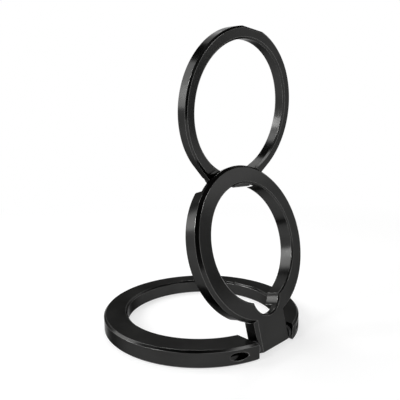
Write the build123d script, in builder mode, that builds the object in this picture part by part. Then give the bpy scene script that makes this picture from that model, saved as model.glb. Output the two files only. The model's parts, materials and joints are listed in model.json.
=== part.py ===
"""Folding phone ring holder: a magnetic base ring, a hinged support arm and a hinged grip ring.

The base lies flat on Z = 0 with its centre on the Z axis. The lower hinge is on the -Y side.
Both hinge axes run along X. The arm and the grip ring are drawn in their open position.
Millimetres and degrees.
"""

import os
from math import asin, cos, degrees, radians, sin, tan

from build123d import *

os.makedirs("parts", exist_ok=True)

# Base ring
base_diameter = 56.0
base_width = 6.5
base_height = 4.3
base_top_edge = 0.5
base_bottom_edge = 0.3

# Base pad, set into the underside and standing a little proud of it
pad_thickness = 0.6
pad_proud = 0.15
pad_margin = 0.8

# Magnets in a channel above the pad
magnet_count = 16
magnet_height = 2.2
channel_wall = 1.5
channel_end_wall = 1.0
magnet_gap = 0.15
magnet_edge = 0.15

# Lower hinge
base_pin_diameter = 2.0
base_pin_inset = 2.75
base_pin_height = 2.2
base_pin_grip = 2.3
base_washer_diameter = 3.0
base_washer_thickness = 0.9
pin_edge = 0.15

# Support arm: a ring plate with a thick rim, a tab below and a lug behind its top
nest_clearance = 1.75
nest_offset = 0.65
arm_sink = 0.6
arm_band = 4.65
arm_thickness = 4.1
plate_thickness = 1.7
arm_front_edge = 0.75
arm_hole_edge = 0.35
arm_rear_edge = 0.2
tab_width = 11.75
heel_drop = 1.4
knuckle_rise = 5.7
groove_height = 2.0
notch_radius = 5.0
notch_depth = 3.05
rim_corner_radius = 1.2

# Upper hinge
upper_pin_diameter = 1.0
upper_pin_inset = 2.4
upper_pin_cover = 0.75
upper_pin_sink = 0.3
upper_washer_diameter = 2.0
upper_washer_thickness = 0.5
lug_width = 5.6
lug_radius = 1.0
recess_drop = 3.1

# Grip ring
grip_inset = 0.55
grip_band = 2.85
grip_thickness = 3.35
grip_front_edge = 0.45
grip_rear_edge = 0.5
grip_flat_depth = 0.35
shoulder_angle = 42.0
rebate_margin = 0.8

# Open position: arm up from folded flat, grip ring forward from the arm
arm_tilt = 75.6
grip_tilt = 23.5

# Clearances
running_clearance = 0.03
side_play = 0.05
fold_play = 0.1
stop_play = 0.1
channel_clearance = 0.1

# Radii and widths that follow
base_radius = base_diameter / 2
base_hole_radius = base_radius - base_width
base_gap = tab_width + 2 * (base_washer_thickness + 2 * side_play)
base_pin_radius = base_pin_diameter / 2
hinge_radius = base_radius - base_pin_inset
arm_radius = base_hole_radius - nest_clearance
arm_hole_radius = arm_radius - arm_band
grip_radius = arm_radius - grip_inset
grip_hole_radius = grip_radius - grip_band
grip_pin_radius = grip_radius - grip_band / 2
grip_gap = lug_width + 2 * (upper_washer_thickness + 2 * side_play)
upper_pin_radius = upper_pin_diameter / 2

# Lower hinge axis and the arm's own axes: across, up along the plate, out of its front
across = Vector(1, 0, 0)
lower_axis = Vector(0, -hinge_radius, base_pin_height)
arm_up = Vector(0, cos(radians(arm_tilt)), sin(radians(arm_tilt)))
arm_front = Vector(0, -sin(radians(arm_tilt)), cos(radians(arm_tilt)))

# Folded down, the arm would lie in the base's hole, its front a little below the base's top
arm_reach = hinge_radius - nest_offset
arm_flush = base_height - arm_sink - base_pin_height
arm_centre = lower_axis + arm_up * arm_reach + arm_front * arm_flush
arm_plane = Plane(origin=arm_centre, x_dir=across, z_dir=arm_front)
arm_side = Plane(origin=arm_centre, x_dir=arm_up, z_dir=across)

# Upper hinge axis. Folded back, the grip ring lies flat against the rear of the arm's rim
upper_reach = arm_radius - upper_pin_inset
upper_depth = arm_thickness + fold_play + upper_pin_cover
upper_axis = arm_centre + arm_up * upper_reach - arm_front * upper_depth

# The grip ring's own axes
grip_angle = radians(arm_tilt + grip_tilt)
grip_up = Vector(0, cos(grip_angle), sin(grip_angle))
grip_front = Vector(0, -sin(grip_angle), cos(grip_angle))
grip_pin_depth = grip_thickness - upper_pin_cover
grip_centre = upper_axis + grip_up * grip_pin_radius + grip_front * grip_pin_depth
grip_plane = Plane(origin=grip_centre, x_dir=across, z_dir=grip_front)
grip_side = Plane(origin=grip_centre, x_dir=grip_up, z_dir=across)


def save(builder, name):
    """Label a finished piece and write it to its own file."""
    builder.part.label = name
    export_step(builder.part, f"parts/{name}.step")


# Base ring: an open ring with a gap for the arm's tab
pad_inner = base_hole_radius + pad_margin
pad_outer = base_radius - pad_margin
pad_gap = base_gap + 2 * pad_margin
channel_inner = base_hole_radius + channel_wall
channel_outer = base_radius - channel_wall
channel_height = magnet_height + channel_clearance
bore_reach = (base_radius**2 - (hinge_radius - base_pin_radius) ** 2) ** 0.5
channel_gap = 2 * (bore_reach + channel_end_wall)

with BuildPart() as base_ring:
    with BuildSketch(Plane.XY.offset(pad_proud)):
        Circle(base_radius)
        Circle(base_hole_radius, mode=Mode.SUBTRACT)
        with Locations((0, -base_radius)):
            Rectangle(base_gap, base_radius, mode=Mode.SUBTRACT)
    extrude(amount=base_height - pad_proud)
    chamfer(base_ring.faces().sort_by(Axis.Z)[-1].edges(), length=base_top_edge)
    chamfer(base_ring.faces().sort_by(Axis.Z)[0].edges(), length=base_bottom_edge)
    # Shallow seat for the pad
    with BuildSketch(Plane.XY):
        Circle(pad_outer)
        Circle(pad_inner, mode=Mode.SUBTRACT)
        with Locations((0, -base_radius)):
            Rectangle(pad_gap, base_radius, mode=Mode.SUBTRACT)
    extrude(amount=pad_thickness, mode=Mode.SUBTRACT)
    # Magnet channel, stopping short of the pin bores
    with BuildSketch(Plane.XY.offset(pad_thickness)):
        Circle(channel_outer)
        Circle(channel_inner, mode=Mode.SUBTRACT)
        with Locations((0, -base_radius)):
            Rectangle(channel_gap, 2 * base_radius, mode=Mode.SUBTRACT)
    extrude(amount=channel_height, mode=Mode.SUBTRACT)
    # Pin bores on both sides of the gap
    with BuildSketch(Plane.YZ.offset(-base_radius)):
        with Locations((-hinge_radius, base_pin_height)):
            Circle(base_pin_radius)
    extrude(amount=2 * base_radius, mode=Mode.SUBTRACT)
save(base_ring, "base_ring")

# Base pad: a soft open ring that closes the channel
with BuildPart() as base_pad:
    with BuildSketch():
        Circle(pad_outer - side_play)
        Circle(pad_inner + side_play, mode=Mode.SUBTRACT)
        with Locations((0, -base_radius)):
            Rectangle(pad_gap + 2 * side_play, base_radius, mode=Mode.SUBTRACT)
    extrude(amount=pad_thickness)
save(base_pad, "base_pad")

# Magnets: short arcs lying on the pad, side by side along the channel
magnet_inner = channel_inner + channel_clearance
magnet_outer = channel_outer - channel_clearance
channel_end = degrees(asin((channel_gap / 2 + channel_clearance) / magnet_inner))
magnet_pitch = (360 - 2 * channel_end) / magnet_count
magnet_sweep = magnet_pitch - degrees(magnet_gap / magnet_inner)

for index in range(magnet_count):
    magnet_start = channel_end - 90 + index * magnet_pitch + (magnet_pitch - magnet_sweep) / 2
    with BuildPart() as magnet:
        with BuildSketch(Plane.XY.offset(pad_thickness)):
            with BuildLine():
                outside = CenterArc((0, 0), magnet_outer, magnet_start, magnet_sweep)
                inside = CenterArc((0, 0), magnet_inner, magnet_start, magnet_sweep)
                Line(outside @ 0, inside @ 0)
                Line(outside @ 1, inside @ 1)
            make_face()
        extrude(amount=magnet_height)
        chamfer(magnet.edges().group_by(Axis.Z)[-1], length=magnet_edge)
    save(magnet, f"magnet_{index + 1:02d}")

# Lower hinge pin, pressed into the base and sunk below the mouths of its bores
base_pin_half = base_gap / 2 + base_pin_grip
with BuildPart() as base_hinge_pin:
    with BuildSketch(Plane.YZ.offset(-base_pin_half)):
        with Locations((-hinge_radius, base_pin_height)):
            Circle(base_pin_radius)
    extrude(amount=2 * base_pin_half)
    chamfer(base_hinge_pin.edges(), length=pin_edge)
save(base_hinge_pin, "base_hinge_pin")

# Friction washers on the lower pin, one on each side of the tab
for side, start in (("left", -base_gap / 2 + side_play), ("right", tab_width / 2 + side_play)):
    with BuildPart() as base_washer:
        with BuildSketch(Plane.YZ.offset(start)):
            with Locations((-hinge_radius, base_pin_height)):
                Circle(base_washer_diameter / 2)
                Circle(base_pin_radius + running_clearance, mode=Mode.SUBTRACT)
        extrude(amount=base_washer_thickness)
    save(base_washer, f"base_washer_{side}")

# Support arm
recess_floor = upper_reach - recess_drop
knuckle_top = -arm_reach + knuckle_rise
knuckle_depth = arm_flush + base_pin_height - fold_play
tab_bottom = -arm_reach - heel_drop
tab_top = -arm_hole_radius - arm_band / 2
notch_centre = -arm_hole_radius - notch_depth + notch_radius
rim_depth = arm_thickness - plate_thickness

with BuildPart() as support_arm:
    # Thin front plate with the tab below, and a notch above the tab
    with BuildSketch(arm_plane):
        Circle(arm_radius)
        Circle(arm_hole_radius, mode=Mode.SUBTRACT)
        with Locations((0, tab_bottom)):
            Rectangle(tab_width, tab_top - tab_bottom, align=(Align.CENTER, Align.MIN))
        with Locations((0, notch_centre)):
            Circle(notch_radius, mode=Mode.SUBTRACT)
    extrude(amount=-plate_thickness)
    front_face = support_arm.faces().sort_by(Axis(arm_centre, arm_front))[-1]
    chamfer(front_face.inner_wires().edges(), length=arm_hole_edge)
    front_face = support_arm.faces().sort_by(Axis(arm_centre, arm_front))[-1]
    chamfer(front_face.outer_wire().edges().sort_by(Axis.Z)[1:], length=arm_front_edge)
    # Rim behind the plate, open at the top for the grip ring and at the bottom for a groove
    with BuildSketch(arm_plane.offset(-plate_thickness)) as rim:
        Circle(arm_radius)
        Circle(arm_hole_radius, mode=Mode.SUBTRACT)
        with Locations((0, notch_centre)):
            Circle(notch_radius, mode=Mode.SUBTRACT)
        with Locations((0, recess_floor)):
            Rectangle(2 * arm_radius, arm_radius, align=(Align.CENTER, Align.MIN), mode=Mode.SUBTRACT)
        with Locations((0, knuckle_top + groove_height)):
            Rectangle(2 * arm_radius, arm_radius, align=(Align.CENTER, Align.MAX), mode=Mode.SUBTRACT)
        rim_top = rim.vertices().group_by(Axis.Y)[-1].sort_by(Axis.X)
        fillet([rim_top[0], rim_top[-1]], radius=rim_corner_radius)
    extrude(amount=-rim_depth)
    rim_faces = support_arm.faces().group_by(Axis(arm_centre, arm_front))[0]
    chamfer(rim_faces.edges(), length=arm_rear_edge)
    # Knuckle of the lower hinge, rounded behind the heel and clear of the underside when folded
    with BuildSketch(arm_side.offset(-tab_width / 2)) as knuckle:
        with Locations((tab_bottom, -plate_thickness / 2)):
            Rectangle(
                knuckle_top - tab_bottom,
                knuckle_depth - plate_thickness / 2,
                align=(Align.MIN, Align.MAX),
            )
        heel = knuckle.vertices().group_by(Axis.Y)[0].sort_by(Axis.X)[0]
        fillet(heel, radius=heel_drop)
    extrude(amount=tab_width)
    # Lug of the upper hinge
    with BuildSketch(arm_side.offset(-lug_width / 2)):
        with BuildLine():
            Line((recess_floor, -plate_thickness / 2), (upper_reach + lug_radius, -plate_thickness / 2))
            Line((recess_floor, -plate_thickness), (upper_reach + lug_radius, -plate_thickness))
            CenterArc((upper_reach, -upper_depth), lug_radius, 0, 360)
        make_hull()
    extrude(amount=lug_width)
    # Pin bores
    with BuildSketch(arm_side.offset(-arm_radius)):
        with Locations((-arm_reach, -arm_flush)):
            Circle(base_pin_radius + running_clearance)
        with Locations((upper_reach, -upper_depth)):
            Circle(upper_pin_radius + running_clearance)
    extrude(amount=2 * arm_radius, mode=Mode.SUBTRACT)
save(support_arm, "support_arm")

# Grip ring
shoulder = radians(shoulder_angle)
shoulder_side = (grip_radius * sin(shoulder), -grip_radius * cos(shoulder))
shoulder_foot = (grip_radius * tan(shoulder / 2), -grip_radius)
grip_flat = grip_radius - grip_flat_depth

with BuildPart() as grip_ring:
    # A slim ring with straight shoulders at the hinge
    with BuildSketch(grip_plane):
        with BuildLine():
            CenterArc((0, 0), grip_radius, shoulder_angle - 90, 360 - 2 * shoulder_angle)
            Polyline(
                shoulder_side,
                shoulder_foot,
                (-shoulder_foot[0], shoulder_foot[1]),
                (-shoulder_side[0], shoulder_side[1]),
            )
        make_face()
        Circle(grip_hole_radius, mode=Mode.SUBTRACT)
    extrude(amount=-grip_thickness)
    chamfer(grip_ring.faces().sort_by(Axis(grip_centre, grip_front))[-1].edges(), length=grip_front_edge)
    chamfer(grip_ring.faces().sort_by(Axis(grip_centre, grip_front))[0].edges(), length=grip_rear_edge)
    # Small flat at the top, with the same chamfers as the rest of the ring
    with BuildSketch(grip_side.offset(-grip_radius / 2)):
        Polygon(
            (grip_flat - grip_front_edge, 0),
            (grip_flat, -grip_front_edge),
            (grip_flat, grip_rear_edge - grip_thickness),
            (grip_flat - grip_rear_edge, -grip_thickness),
            (grip_radius, -grip_thickness),
            (grip_radius, 0),
            align=None,
        )
    extrude(amount=grip_radius, mode=Mode.SUBTRACT)
    # Gap for the lug
    with BuildSketch(grip_plane):
        with Locations((0, -grip_radius)):
            Rectangle(grip_gap, grip_radius)
    extrude(amount=-grip_thickness, mode=Mode.SUBTRACT)
    # Pocket that the top of the arm's plate rests in when the grip ring leans forward
    with BuildSketch(arm_plane):
        Circle(arm_radius + rebate_margin)
    extrude(amount=-plate_thickness - stop_play, mode=Mode.SUBTRACT)
    # Pin bores on both sides of the gap
    with BuildSketch(grip_side.offset(-grip_radius)):
        with Locations((-grip_pin_radius, -grip_pin_depth)):
            Circle(upper_pin_radius)
    extrude(amount=2 * grip_radius, mode=Mode.SUBTRACT)
save(grip_ring, "grip_ring")

# Upper hinge pin, pressed into the grip ring and sunk below its shoulders
shoulder_reach = shoulder_foot[0] + (grip_radius - grip_pin_radius - upper_pin_radius) / tan(shoulder)
upper_pin_half = shoulder_reach - upper_pin_sink
with BuildPart() as grip_hinge_pin:
    with BuildSketch(grip_side.offset(-upper_pin_half)):
        with Locations((-grip_pin_radius, -grip_pin_depth)):
            Circle(upper_pin_radius)
    extrude(amount=2 * upper_pin_half)
    chamfer(grip_hinge_pin.edges(), length=pin_edge)
save(grip_hinge_pin, "grip_hinge_pin")

# Friction washers on the upper pin, one on each side of the lug
for side, start in (("left", -grip_gap / 2 + side_play), ("right", lug_width / 2 + side_play)):
    with BuildPart() as grip_washer:
        with BuildSketch(grip_side.offset(start)):
            with Locations((-grip_pin_radius, -grip_pin_depth)):
                Circle(upper_washer_diameter / 2)
                Circle(upper_pin_radius + running_clearance, mode=Mode.SUBTRACT)
        extrude(amount=upper_washer_thickness)
    save(grip_washer, f"grip_washer_{side}")
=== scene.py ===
"""Studio scene for the folding phone ring holder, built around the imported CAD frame."""

import json
import math

import bpy
from mathutils import Matrix, Vector


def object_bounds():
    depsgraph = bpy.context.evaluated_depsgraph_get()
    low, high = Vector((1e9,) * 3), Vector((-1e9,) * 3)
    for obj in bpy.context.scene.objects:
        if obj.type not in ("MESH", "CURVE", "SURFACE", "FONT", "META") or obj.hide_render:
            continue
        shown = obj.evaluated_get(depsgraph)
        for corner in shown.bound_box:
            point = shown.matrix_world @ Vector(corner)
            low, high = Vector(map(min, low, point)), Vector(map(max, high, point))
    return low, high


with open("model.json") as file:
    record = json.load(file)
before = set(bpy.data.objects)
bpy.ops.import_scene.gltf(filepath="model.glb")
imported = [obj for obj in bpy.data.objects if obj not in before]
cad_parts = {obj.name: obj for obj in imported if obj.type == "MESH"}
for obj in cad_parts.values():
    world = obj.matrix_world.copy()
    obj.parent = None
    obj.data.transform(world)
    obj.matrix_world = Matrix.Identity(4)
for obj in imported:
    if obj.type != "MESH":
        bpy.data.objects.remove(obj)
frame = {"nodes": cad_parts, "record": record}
cad_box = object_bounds()

# Camera, fitted to the photograph
CAMERA_POSITION = Vector((-0.07548, -0.08063, 0.04805))
CAMERA_TARGET = Vector((0.000089, -0.000083, 0.035281))
CAMERA_ROLL = math.radians(-0.867)
CAMERA_LENS = 34.852
CAMERA_SENSOR = 36.0

# Middle of the object, which the lamps face
OBJECT_MIDDLE = (Vector(cad_box[0]) + Vector(cad_box[1])) / 2

# Black metal: rounding of its edges, and how far a normal turns there (as a cosine) before the painted
# edge highlight starts and where it is full
EDGE_ROUNDING = 0.00012
HIGHLIGHT_STARTS, HIGHLIGHT_FULL = 0.995, 0.93

# White sweep: half its width, its reach towards and away from the camera, its height and its curved foot
FLOOR_HALF_WIDTH = 1.2
FLOOR_FRONT = 1.2
FLOOR_BACK = 0.9
FLOOR_RISE = 1.2
FLOOR_CURVE = 0.35
FLOOR_CURVE_STEPS = 12

# Room light: white up to the first height above the horizon, dim from the second
ROOM_WHITE_UP_TO = math.radians(16)
ROOM_DIM_FROM = math.radians(34)
ROOM_DIM = 0.08


def direction_from_camera(azimuth, elevation):
    """Direction from the object; azimuth 0 is towards the camera and grows to its right, in degrees."""
    facing = CAMERA_POSITION - CAMERA_TARGET
    turn = math.atan2(facing.y, facing.x) + math.radians(azimuth)
    lift = math.radians(elevation)
    return Vector((math.cos(turn) * math.cos(lift), math.sin(turn) * math.cos(lift), math.sin(lift)))


def add_camera():
    """Place the camera where the photograph was taken from."""
    back = (CAMERA_POSITION - CAMERA_TARGET).normalized()
    level = Vector((0, 0, 1)).cross(back).normalized()
    upright = back.cross(level)
    right = level * math.cos(CAMERA_ROLL) + upright * math.sin(CAMERA_ROLL)
    up = back.cross(right)
    data = bpy.data.cameras.new("camera")
    data.lens = CAMERA_LENS
    data.sensor_width = CAMERA_SENSOR
    data.clip_start = 0.001
    data.clip_end = 20
    camera = bpy.data.objects.new("camera", data)
    bpy.context.scene.collection.objects.link(camera)
    camera.matrix_world = Matrix((
        (right.x, up.x, back.x, CAMERA_POSITION.x),
        (right.y, up.y, back.y, CAMERA_POSITION.y),
        (right.z, up.z, back.z, CAMERA_POSITION.z),
        (0, 0, 0, 1),
    ))
    bpy.context.scene.camera = camera


def new_material(name):
    """Make a node material and return it with its tree and its Principled shader."""
    material = bpy.data.materials.new(name)
    material.use_nodes = True
    tree = material.node_tree
    return material, tree, tree.nodes["Principled BSDF"]


def noise_in_object(tree, scale, detail):
    """Noise that stays with the object, in features per metre."""
    place = tree.nodes.new("ShaderNodeTexCoord")
    noise = tree.nodes.new("ShaderNodeTexNoise")
    noise.inputs["Scale"].default_value = scale
    noise.inputs["Detail"].default_value = detail
    tree.links.new(place.outputs["Object"], noise.inputs["Vector"])
    return noise


def varied_colour(tree, noise, colour, share):
    """A colour that drifts by a share of itself, up and down; returns its socket."""
    ramp = tree.nodes.new("ShaderNodeValToRGB")
    for element, place, level in zip(ramp.color_ramp.elements, (0.3, 0.7), (1 - share, 1 + share)):
        element.position = place
        element.color = (*[min(1, channel * level) for channel in colour], 1)
    tree.links.new(noise.outputs["Fac"], ramp.inputs["Fac"])
    return ramp.outputs["Color"]


def vary_gloss(tree, shader, noise, roughness, spread):
    """Let the roughness drift up and down by a spread."""
    polish = tree.nodes.new("ShaderNodeMapRange")
    polish.inputs["From Min"].default_value = 0.3
    polish.inputs["From Max"].default_value = 0.7
    polish.inputs["To Min"].default_value = roughness - spread
    polish.inputs["To Max"].default_value = roughness + spread
    tree.links.new(noise.outputs["Fac"], polish.inputs["Value"])
    tree.links.new(polish.outputs["Result"], shader.inputs["Roughness"])


def black_metal(name, colour, edge_highlight_colour, roughness):
    """Satin black plated metal: fine blasted grain, faint clouds, and a painted highlight that makes the
    rounded edges brighter.
    """
    material, tree, shader = new_material(name)
    shader.inputs["Metallic"].default_value = 1.0
    shader.inputs["Specular Tint"].default_value = (0.4, 0.4, 0.4, 1)
    clouds = noise_in_object(tree, 120, 4)
    plating = varied_colour(tree, clouds, colour, 0.12)
    vary_gloss(tree, shader, clouds, roughness, 0.03)
    rounding = tree.nodes.new("ShaderNodeBevel")
    rounding.samples = 8
    rounding.inputs["Radius"].default_value = EDGE_ROUNDING
    surface = tree.nodes.new("ShaderNodeNewGeometry")
    turned = tree.nodes.new("ShaderNodeVectorMath")
    turned.operation = "DOT_PRODUCT"
    tree.links.new(rounding.outputs["Normal"], turned.inputs[0])
    tree.links.new(surface.outputs["Normal"], turned.inputs[1])
    # Painted highlight: where the rounded edge turns the normal, the base colour is mixed towards a
    # brighter edge colour, standing in for the bright lines of light along the edges
    painted_highlight = tree.nodes.new("ShaderNodeMapRange")
    painted_highlight.inputs["From Min"].default_value = HIGHLIGHT_STARTS
    painted_highlight.inputs["From Max"].default_value = HIGHLIGHT_FULL
    tree.links.new(turned.outputs["Value"], painted_highlight.inputs["Value"])
    mix = tree.nodes.new("ShaderNodeMix")
    mix.data_type = "RGBA"
    mix.inputs["B"].default_value = (*edge_highlight_colour, 1)
    tree.links.new(painted_highlight.outputs["Result"], mix.inputs["Factor"])
    tree.links.new(plating, mix.inputs["A"])
    tree.links.new(mix.outputs["Result"], shader.inputs["Base Color"])
    grain = noise_in_object(tree, 9000, 2)
    bump = tree.nodes.new("ShaderNodeBump")
    bump.inputs["Strength"].default_value = 0.04
    bump.inputs["Distance"].default_value = 0.00001
    tree.links.new(grain.outputs["Fac"], bump.inputs["Height"])
    tree.links.new(rounding.outputs["Normal"], bump.inputs["Normal"])
    tree.links.new(bump.outputs["Normal"], shader.inputs["Normal"])
    return material


def plain_speckled(name, colour, roughness, metallic, scale):
    """A small part's finish: one colour with fine variation in tone and gloss."""
    material, tree, shader = new_material(name)
    shader.inputs["Metallic"].default_value = metallic
    noise = noise_in_object(tree, scale, 3)
    tree.links.new(varied_colour(tree, noise, colour, 0.15), shader.inputs["Base Color"])
    vary_gloss(tree, shader, noise, roughness, 0.06)
    return material


def dress():
    """Give every CAD node its finish."""
    looks = {
        # The second colour of black_casting is the painted highlight along the rounded edges
        "black_casting": black_metal("black_casting", (0.034, 0.034, 0.0335), (0.25, 0.25, 0.245), 0.18),
        "soft_pad": plain_speckled("soft_pad", (0.02, 0.02, 0.021), 0.8, 0.0, 4000),
        "pin_steel": plain_speckled("pin_steel", (0.12, 0.12, 0.125), 0.35, 1.0, 3000),
        "washer": plain_speckled("washer", (0.025, 0.025, 0.026), 0.55, 0.0, 3000),
        "magnet": plain_speckled("magnet", (0.6, 0.6, 0.58), 0.25, 1.0, 1500),
    }
    for part in frame["record"]["subparts"]:
        node = frame["nodes"][part["node"]]
        node.data.materials.clear()
        node.data.materials.append(looks[part["material_slot"]])


def math_node(tree, operation, first, second):
    """A Math node fed by two sockets or numbers; returns its output."""
    node = tree.nodes.new("ShaderNodeMath")
    node.operation = operation
    for socket, value in zip(node.inputs, (first, second)):
        if isinstance(value, (int, float)):
            socket.default_value = value
        else:
            tree.links.new(value, socket)
    return node.outputs["Value"]


def white_paper(name, paper, glow, near, far):
    """Matt white paper that takes a shadow near the object and fades to plain white away from it.

    The fade is only for the rays that show the background, directly or as a reflection."""
    material, tree, shader = new_material(name)
    shader.inputs["Roughness"].default_value = 1.0
    shader.inputs["Specular IOR Level"].default_value = 0.0
    shader.inputs["Emission Color"].default_value = (1, 1, 1, 1)
    path = tree.nodes.new("ShaderNodeLightPath")
    seen = math_node(tree, "MAXIMUM", path.outputs["Is Camera Ray"], path.outputs["Is Glossy Ray"])
    seen = math_node(tree, "MAXIMUM", seen, path.outputs["Is Transmission Ray"])
    place = tree.nodes.new("ShaderNodeTexCoord")
    reach = tree.nodes.new("ShaderNodeVectorMath")
    reach.operation = "LENGTH"
    tree.links.new(place.outputs["Object"], reach.inputs[0])
    fade = tree.nodes.new("ShaderNodeMapRange")
    fade.interpolation_type = "SMOOTHSTEP"
    fade.inputs["From Min"].default_value = near
    fade.inputs["From Max"].default_value = far
    tree.links.new(reach.outputs["Value"], fade.inputs["Value"])
    away = math_node(tree, "MULTIPLY", fade.outputs["Result"], seen)
    tone = tree.nodes.new("ShaderNodeValToRGB")
    tone.color_ramp.elements[0].color = (paper, paper, paper, 1)
    tone.color_ramp.elements[1].color = (0, 0, 0, 1)
    tree.links.new(away, tone.inputs["Fac"])
    tree.links.new(tone.outputs["Color"], shader.inputs["Base Color"])
    lift = math_node(tree, "MULTIPLY", away, 1 - glow)
    lift = math_node(tree, "ADD", lift, math_node(tree, "MULTIPLY", seen, glow))
    tree.links.new(lift, shader.inputs["Emission Strength"])
    return material


def add_floor():
    """A plain white sweep: floor, curved foot and back wall in one sheet."""
    curve_start = FLOOR_BACK - FLOOR_CURVE
    profile = [(-FLOOR_FRONT, 0.0), (curve_start, 0.0)]
    for i in range(1, FLOOR_CURVE_STEPS + 1):
        turn = math.pi / 2 * i / FLOOR_CURVE_STEPS
        along = curve_start + FLOOR_CURVE * math.sin(turn)
        profile.append((along, FLOOR_CURVE - FLOOR_CURVE * math.cos(turn)))
    profile.append((FLOOR_BACK, FLOOR_RISE))
    away = -direction_from_camera(0, 0)
    side = Vector((-away.y, away.x, 0)) * FLOOR_HALF_WIDTH
    corners = [away * along + side * s + Vector((0, 0, high)) for along, high in profile for s in (-1, 1)]
    faces = [(2 * i, 2 * i + 1, 2 * i + 3, 2 * i + 2) for i in range(len(profile) - 1)]
    mesh = bpy.data.meshes.new("floor")
    mesh.from_pydata(corners, [], faces)
    for polygon in mesh.polygons:
        polygon.use_smooth = True
    floor = bpy.data.objects.new("floor", mesh)
    bpy.context.scene.collection.objects.link(floor)
    floor.data.materials.append(white_paper("floor", paper=0.42, glow=0.65, near=0.07, far=0.3))


def add_lamp(name, azimuth, elevation, distance, width, height, brightness):
    """A soft box that faces the object. Brightness is that of its face; 1 is as bright as white paper."""
    towards = direction_from_camera(azimuth, elevation)
    data = bpy.data.lights.new(name, "AREA")
    data.shape = "RECTANGLE"
    data.size = width
    data.size_y = height
    data.energy = brightness * math.pi * width * height
    lamp = bpy.data.objects.new(name, data)
    bpy.context.scene.collection.objects.link(lamp)
    lamp.location = OBJECT_MIDDLE + towards * distance
    lamp.rotation_euler = towards.to_track_quat("Z", "Y").to_euler()


def add_card(name, tone, azimuth, distance, width, bottom, top):
    """An upright card beside the object that only the metal sees, as a reflection."""
    towards = direction_from_camera(azimuth, 0)
    middle = towards * distance
    side = Vector((-towards.y, towards.x, 0)) * width / 2
    low = Vector((0, 0, bottom))
    high = Vector((0, 0, top))
    corners = [middle - side + low, middle + side + low, middle + side + high, middle - side + high]
    mesh = bpy.data.meshes.new(name)
    mesh.from_pydata(corners, [], [(0, 1, 2, 3)])
    card = bpy.data.objects.new(name, mesh)
    bpy.context.scene.collection.objects.link(card)
    card.data.materials.append(plain_speckled(name, (tone, tone, tone), 0.9, 0.0, 50))
    card.visible_camera = False
    card.visible_diffuse = False
    card.visible_shadow = False


def add_world():
    """Room light: white around the horizon, dim overhead."""
    world = bpy.data.worlds.new("room")
    bpy.context.scene.world = world
    world.use_nodes = True
    tree = world.node_tree
    sky = tree.nodes["Background"]
    place = tree.nodes.new("ShaderNodeTexCoord")
    height = tree.nodes.new("ShaderNodeSeparateXYZ")
    tree.links.new(place.outputs["Generated"], height.inputs["Vector"])
    ramp = tree.nodes.new("ShaderNodeValToRGB")
    heights = (ROOM_WHITE_UP_TO, ROOM_DIM_FROM)
    for element, above_horizon, level in zip(ramp.color_ramp.elements, heights, (1.0, ROOM_DIM)):
        element.position = math.sin(above_horizon)
        element.color = (level, level, level, 1)
    tree.links.new(height.outputs["Z"], ramp.inputs["Fac"])
    tree.links.new(ramp.outputs["Color"], sky.inputs["Color"])


add_camera()
dress()
add_floor()
add_world()
add_card("front_card", tone=0.01, azimuth=-10, distance=0.17, width=0.07, bottom=0.0, top=0.3)
add_card("side_card", tone=0.5, azimuth=80, distance=0.2, width=0.044, bottom=0.015, top=0.08)
add_lamp("left_box", azimuth=-97, elevation=30, distance=0.22, width=0.10, height=0.18, brightness=4)
add_lamp("left_strip", azimuth=-85, elevation=21, distance=0.5, width=0.05, height=0.12, brightness=20)
add_lamp("left_key", azimuth=-55, elevation=33, distance=0.5, width=0.13, height=0.13, brightness=16)
add_lamp("right_key", azimuth=48, elevation=43, distance=0.5, width=0.22, height=0.14, brightness=5)
add_lamp("right_panel", azimuth=100, elevation=28, distance=0.5, width=0.3, height=0.25, brightness=0.7)
add_lamp("back_box", azimuth=-168, elevation=55, distance=0.5, width=0.22, height=0.2, brightness=5)
bpy.context.scene.view_settings.view_transform = "Standard"
